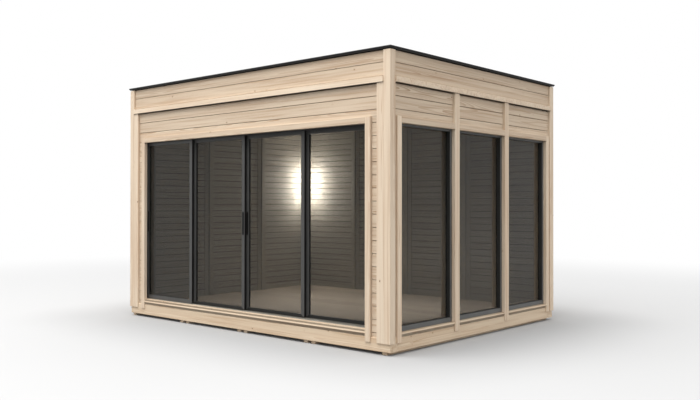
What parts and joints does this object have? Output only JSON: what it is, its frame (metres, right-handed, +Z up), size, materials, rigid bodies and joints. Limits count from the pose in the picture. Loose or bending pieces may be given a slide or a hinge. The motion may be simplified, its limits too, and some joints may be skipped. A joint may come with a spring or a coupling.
{
  "type": "garden house",
  "caption": "Flat-roofed timber garden house with boarded walls, a wide glazed sliding door along the front and tall fixed windows along the right side.",
  "frame": {"origin": "middle of the footprint at ground level, under the floor bearers", "axes": "+X to the right seen from the front, +Y from the door front to the back wall, +Z up"},
  "size_m": [4.112, 3.136, 2.784],
  "materials": {
    "base_timber": "planed, unpainted",
    "floor_boards": "planed, unpainted",
    "wall_boards": "planed, unpainted",
    "trim_timber": "planed, unpainted",
    "dark_metal": "satin powder coat",
    "bare_metal": "anodised, satin",
    "clear_glass": "clear",
    "roof_membrane": "matt"
  },
  "bodies": {
    "house": {"floor_bearers": "base_timber", "base_beams_front_and_back": "base_timber", "base_beams_sides": "base_timber", "floor_joists": "base_timber", "floor_deck": "floor_boards", "front_wall_left": "wall_boards", "front_wall_right": "wall_boards", "front_wall_header": "wall_boards", "left_wall": "wall_boards", "back_wall": "wall_boards", "right_wall_posts": "wall_boards", "right_wall_header": "wall_boards", "right_wall_rail": "wall_boards", "corner_posts": "trim_timber", "corner_boards": "trim_timber", "fascia_boards": "trim_timber", "fascia_strips": "trim_timber", "door_trim_sides": "trim_timber", "door_trim_head": "trim_timber", "door_sill": "trim_timber", "window_trim_sides": "trim_timber", "mullion_boards": "trim_timber", "window_trim_heads": "trim_timber", "window_sills": "trim_timber", "window_linings": "trim_timber", "window_frames": "dark_metal", "window_glass": "clear_glass", "door_rails": "bare_metal", "door_head_track": "dark_metal", "door_jambs": "dark_metal", "inner_posts": "trim_timber", "ceiling_panel": "wall_boards", "roof_deck": "roof_membrane", "roof_edge": "dark_metal"},
    "leaf_1": {"door_leaf_1_frame": "dark_metal", "door_leaf_1_glass": "clear_glass", "door_pull_1": "dark_metal"},
    "leaf_2": {"door_leaf_2_frame": "dark_metal", "door_leaf_2_glass": "clear_glass", "door_pull_2": "dark_metal"},
    "leaf_3": {"door_leaf_3_frame": "dark_metal", "door_leaf_3_glass": "clear_glass", "door_pull_3": "dark_metal"},
    "leaf_4": {"door_leaf_4_frame": "dark_metal", "door_leaf_4_glass": "clear_glass"}
  },
  "joints": [
    {"name": "leaf_1_slide", "type": "slide", "parent": "house", "child": "leaf_1", "axis": [1, 0, 0], "range_m": [0, 2.607]},
    {"name": "leaf_2_slide", "type": "slide", "parent": "house", "child": "leaf_2", "axis": [1, 0, 0], "range_m": [-0.869, 1.738]},
    {"name": "leaf_3_slide", "type": "slide", "parent": "house", "child": "leaf_3", "axis": [1, 0, 0], "range_m": [-1.738, 0.869]},
    {"name": "leaf_4_slide", "type": "slide", "parent": "house", "child": "leaf_4", "axis": [1, 0, 0], "range_m": [-2.607, 0]}
  ]
}
